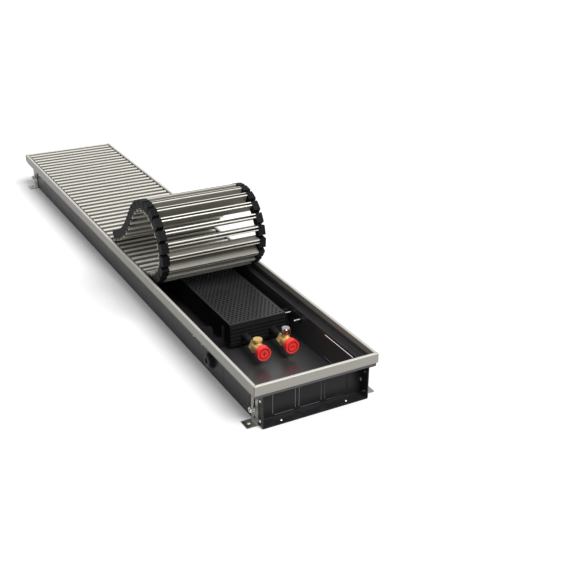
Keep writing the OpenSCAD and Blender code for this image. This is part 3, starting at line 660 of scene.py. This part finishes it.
class HEATER_OT_fasteners(bpy.types.Operator):
    """Makes the bracket screws, rivets and foot bolts with their recesses and threads"""
    bl_idname = "heater.fasteners"
    bl_label = "Rivets, screws and bolts"

    def execute(self, context):
        sizes = context.scene.heater_fasteners
        self.screws(sizes)
        self.rivets(sizes)
        self.bolts(sizes)
        return {"FINISHED"}

    def screws(self, sizes):
        """The screws that hold the brackets, all alike and across the unit."""
        boxes = solid_boxes("bracket_screws")
        low, high = boxes[0]
        head_d, length = high.y - low.y, high.x - low.x - sizes.screw_head_h
        bm = bmesh.new()
        set_copies(bm, screw, head_d, length, sizes,
                   places=[outward(*box, sizes.screw_head_h) for box in boxes])
        piece("Bracket_screws", bm, "casing", "zinc", "bracket_screws")

    def rivets(self, sizes):
        """The rivets across the trough's walls, with a set tail, and upright ones in its floor,
        which are those that start within a shank's width of the underside."""
        boxes = solid_boxes("plate_rivets")
        upright = [(low, high) for low, high in boxes if low.z < sizes.rivet_d]
        across = [(low, high) for low, high in boxes if low.z >= sizes.rivet_d]
        bm = bmesh.new()
        low, high = across[0]
        head_d, length = high.y - low.y, high.x - low.x - sizes.rivet_head_h
        tail_d = 0.8 * head_d
        set_copies(bm, rivet, head_d, length, tail_d, sizes,
                   places=[outward(*box, sizes.rivet_head_h) for box in across])
        low, high = upright[0]
        length = high.z - low.z - sizes.rivet_head_h
        set_copies(bm, rivet, head_d, length, sizes.rivet_d, sizes, places=[
            Matrix.Translation(((low.x + high.x) / 2, (low.y + high.y) / 2,
                                high.z - sizes.rivet_head_h)) for low, high in upright])
        piece("Plate_rivets", bm, "casing", "zinc", "plate_rivets")

    def bolts(self, sizes):
        """The bolts that the feet slide on, from the collar inside the wall to the head."""
        boxes = solid_boxes("foot_bolts")
        low, high = boxes[0]
        collar_d, length = high.y - low.y, high.x - low.x
        bm = bmesh.new()
        set_copies(bm, foot_bolt, collar_d, length, sizes,
                   places=[outward(*box, length) for box in boxes])
        piece("Foot_bolts", bm, "casing", "zinc", "foot_bolts")


# The camera, fitted to the corners of the frame and of the end plate: its turn from +Y to +X,
# its dip below the horizon and its roll, in radians, and its place in metres
CAMERA_YAW = 0.5097
CAMERA_PITCH = 0.4455
CAMERA_ROLL = 0.0114
CAMERA_PLACE = Vector((-0.769, -2.017, 0.960))
FILM_WIDTH = 36.0                           # millimetres
FLOOR_SIZE = 60.0                           # metres, past all that the camera sees
FLOOR_DROP = 0.1 * MM                       # keeps the floor clear of the underside
LIGHT_FROM = Vector((0.17, -0.7, 1.0))      # towards the main light


class HEATER_OT_stage(bpy.types.Operator):
    """Makes the pale floor, the soft light and the camera"""
    bl_idname = "heater.stage"
    bl_label = "Stage"

    def execute(self, context):
        scene = context.scene
        scene.view_settings.view_transform = "Standard"
        self.floor(scene)
        self.light(scene)
        self.camera(scene)
        return {"FINISHED"}

    def floor(self, scene):
        """A pale floor in the picture that is greyer for the light that it throws back, so that
        it doesn't brighten the sides of the heater."""
        settings = scene.heater_stage
        bm = bmesh.new()
        half = FLOOR_SIZE / 2
        bm.faces.new([bm.verts.new((x, y, 0)) for x, y in
                      ((-half, -half), (half, -half), (half, half), (-half, half))])
        mesh = bpy.data.meshes.new("Floor")
        bm.to_mesh(mesh)
        bm.free()
        floor = bpy.data.objects.new("Floor", mesh)
        scene.collection.objects.link(floor)
        floor.location.z = -FLOOR_DROP
        made, tree, shader = start_material("Painted_floor", {
            "Roughness": 0.9, "Specular IOR Level": 0.1, "Emission Color": WHITE})
        seen = self.seen(tree)
        tone = node(tree, "ShaderNodeMix", {
            "Factor": seen, "A": settings.bounce_colour, "B": settings.floor_colour},
            data_type="RGBA")
        glow = node(tree, "ShaderNodeMath", {0: seen, 1: settings.floor_glow},
                    operation="MULTIPLY")
        tree.links.new(tone.outputs["Result"], shader.inputs["Base Color"])
        tree.links.new(glow.outputs[0], shader.inputs["Emission Strength"])
        mesh.materials.append(made)

    def seen(self, tree):
        """1 for what the camera sees, also by a reflection or through glass."""
        path = node(tree, "ShaderNodeLightPath").outputs
        first = node(tree, "ShaderNodeMath", {0: path["Is Camera Ray"], 1: path["Is Glossy Ray"]},
                     operation="MAXIMUM")
        return node(tree, "ShaderNodeMath", {0: first.outputs[0],
                                             1: path["Is Transmission Ray"]},
                    operation="MAXIMUM").outputs[0]

    def light(self, scene):
        """Even light from all round, with a white background, and one wide lamp."""
        settings = scene.heater_stage
        world = bpy.data.worlds.new("Studio")
        scene.world = world
        world.use_nodes = True
        tree = world.node_tree
        tree.nodes.clear()
        level = node(tree, "ShaderNodeMapRange", {
            "Value": self.seen(tree), "To Min": settings.sky_strength, "To Max": 1.0})
        sky = node(tree, "ShaderNodeBackground", {"Color": WHITE, "Strength": level.outputs[0]})
        node(tree, "ShaderNodeOutputWorld", {"Surface": sky.outputs[0]})
        lamp = bpy.data.lights.new("Main_light", "SUN")
        lamp.angle = settings.sun_size
        lamp.energy = settings.sun_strength
        sun = bpy.data.objects.new("Main_light", lamp)
        sun.rotation_euler = LIGHT_FROM.to_track_quat("Z", "Y").to_euler()
        sun.location = LIGHT_FROM
        scene.collection.objects.link(sun)

    def camera(self, scene):
        """The camera at the photograph's viewing angle."""
        optics = bpy.data.cameras.new("Camera")
        optics.lens = scene.heater_stage.lens
        optics.sensor_width = FILM_WIDTH
        camera = bpy.data.objects.new("Camera", optics)
        ahead = Vector((math.sin(CAMERA_YAW) * math.cos(CAMERA_PITCH),
                        math.cos(CAMERA_YAW) * math.cos(CAMERA_PITCH),
                        -math.sin(CAMERA_PITCH)))
        level = Vector((math.cos(CAMERA_YAW), -math.sin(CAMERA_YAW), 0))
        upright = level.cross(ahead)
        right = math.cos(CAMERA_ROLL) * level + math.sin(CAMERA_ROLL) * upright
        up = math.cos(CAMERA_ROLL) * upright - math.sin(CAMERA_ROLL) * level
        turn = Matrix((right, up, -ahead)).transposed()
        camera.matrix_world = Matrix.Translation(CAMERA_PLACE) @ turn.to_4x4()
        scene.collection.objects.link(camera)
        bpy.context.scene.camera = camera


PIECES = (HEATER_OT_casing, HEATER_OT_frame, HEATER_OT_grille, HEATER_OT_exchanger,
          HEATER_OT_fittings, HEATER_OT_feet, HEATER_OT_fasteners, HEATER_OT_stage)


class HEATER_PT_sidebar(bpy.types.Panel):
    """Lists the pieces and their settings"""
    bl_label = "Trench Heater"
    bl_space_type = "VIEW_3D"
    bl_region_type = "UI"
    bl_category = "Heater"

    def draw(self, context):
        for operator in PIECES:
            self.layout.operator(operator.bl_idname)
        for group in (context.scene.heater_finishes, context.scene.heater_fasteners,
                      context.scene.heater_stage):
            for name in group.__annotations__:
                self.layout.prop(group, name)


CLASSES = (HeaterFinishes, HeaterFasteners, HeaterStage, *PIECES, HEATER_PT_sidebar)


def register():
    for each in CLASSES:
        bpy.utils.register_class(each)
    bpy.types.Scene.heater_finishes = bpy.props.PointerProperty(type=HeaterFinishes)
    bpy.types.Scene.heater_fasteners = bpy.props.PointerProperty(type=HeaterFasteners)
    bpy.types.Scene.heater_stage = bpy.props.PointerProperty(type=HeaterStage)


def unregister():
    del bpy.types.Scene.heater_finishes
    del bpy.types.Scene.heater_fasteners
    del bpy.types.Scene.heater_stage
    for each in reversed(CLASSES):
        bpy.utils.unregister_class(each)


def main():
    register()
    make_materials(bpy.context.scene.heater_finishes)
    for operator in PIECES:
        group, name = operator.bl_idname.split(".")
        getattr(getattr(bpy.ops, group), name)()


if __name__ == "__main__":
    main()
